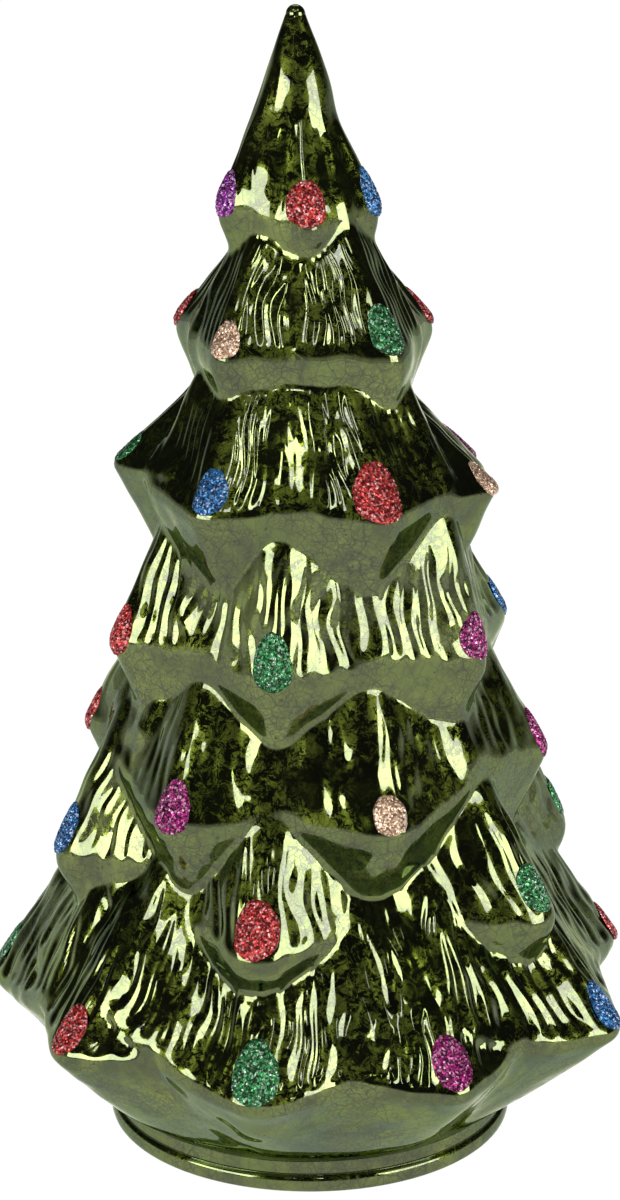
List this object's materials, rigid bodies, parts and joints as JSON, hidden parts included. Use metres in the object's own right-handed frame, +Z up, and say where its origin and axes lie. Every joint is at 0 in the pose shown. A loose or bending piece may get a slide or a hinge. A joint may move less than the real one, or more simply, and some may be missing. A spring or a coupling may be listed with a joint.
{
  "type": "led tabletop christmas tree",
  "caption": "Stylised blown-glass tabletop Christmas tree with tiers of branches, raised glitter dots on their tips and a battery light base with switch inset in its round neck.",
  "frame": {"origin": "centre of the footprint, on the table", "axes": "+Z up, -Y towards the viewer of the picture, +X to the picture's right"},
  "size_m": [0.1606, 0.1601, 0.28],
  "materials": {
    "mercury_glass": "green crackled mercury glass, polished",
    "silicone": "matt translucent silicone",
    "housing_plastic": "satin",
    "black_plastic": "fine texture",
    "white_plastic": "satin",
    "screw_steel": "bright plated",
    "contact_metal": "nickel plated",
    "foot_rubber": "matt",
    "battery_sleeve": "plain sleeve, no lettering",
    "board_laminate": "solder mask",
    "led_lens": "clear warm epoxy",
    "red_insulation": "smooth",
    "black_insulation": "smooth",
    "red_glitter": "raised glitter",
    "magenta_glitter": "raised glitter",
    "blue_glitter": "raised glitter",
    "green_glitter": "raised glitter",
    "gold_glitter": "raised glitter"
  },
  "bodies": {
    "tree": {"glass_tree": "mercury_glass", "seal_ring": "silicone", "base_housing": "housing_plastic", "bottom_cover": "black_plastic", "cover_screw_1": "screw_steel", "cover_screw_2": "screw_steel", "cover_screw_3": "screw_steel", "rubber_foot_1": "foot_rubber", "rubber_foot_2": "foot_rubber", "rubber_foot_3": "foot_rubber", "battery_1": "battery_sleeve", "battery_2": "battery_sleeve", "battery_3": "battery_sleeve", "contact_spring_1": "contact_metal", "contact_spring_2": "contact_metal", "contact_spring_3": "contact_metal", "positive_contact": "contact_metal", "negative_contact": "contact_metal", "front_link_contact": "contact_metal", "rear_link_contact": "contact_metal", "circuit_board": "board_laminate", "switch_body": "white_plastic", "light_stem": "white_plastic", "led_top": "led_lens", "led_side_1": "led_lens", "led_side_2": "led_lens", "led_wire_red": "red_insulation", "led_wire_black": "black_insulation", "battery_lead_black": "black_insulation", "glitter_dot_1a": "magenta_glitter", "glitter_dot_1b": "red_glitter", "glitter_dot_1c": "blue_glitter", "glitter_dot_2a": "red_glitter", "glitter_dot_2b": "gold_glitter", "glitter_dot_2c": "green_glitter", "glitter_dot_2d": "red_glitter", "glitter_dot_3a": "green_glitter", "glitter_dot_3b": "blue_glitter", "glitter_dot_3c": "red_glitter", "glitter_dot_3d": "gold_glitter", "glitter_dot_4a": "red_glitter", "glitter_dot_4b": "green_glitter", "glitter_dot_4c": "magenta_glitter", "glitter_dot_4d": "blue_glitter", "glitter_dot_5b": "magenta_glitter", "glitter_dot_5c": "gold_glitter", "glitter_dot_5d": "magenta_glitter", "glitter_dot_6a": "blue_glitter", "glitter_dot_6b": "red_glitter", "glitter_dot_6c": "green_glitter", "glitter_dot_6d": "green_glitter", "glitter_dot_7a": "green_glitter", "glitter_dot_7b": "red_glitter", "glitter_dot_7c": "green_glitter", "glitter_dot_7d": "magenta_glitter", "glitter_dot_7e": "blue_glitter", "glitter_dot_7f": "red_glitter"},
    "door": {"battery_door": "black_plastic"},
    "door_screw": {"door_screw": "screw_steel"},
    "slider": {"switch_slider": "black_plastic"}
  },
  "joints": [
    {"name": "door_drop", "type": "slide", "parent": "tree", "child": "door", "axis": [0, 0, -1], "range_m": [0, 0.03]},
    {"name": "door_screw_turn", "type": "hinge", "parent": "door", "child": "door_screw", "pos_m": [0, -0.03145, 0.0021], "axis": [0, 0, -1], "range_deg": [0, 1080]},
    {"name": "switch_slide", "type": "slide", "parent": "tree", "child": "slider", "axis": [1, 0, 0], "range_m": [0, 0.0048]}
  ]
}
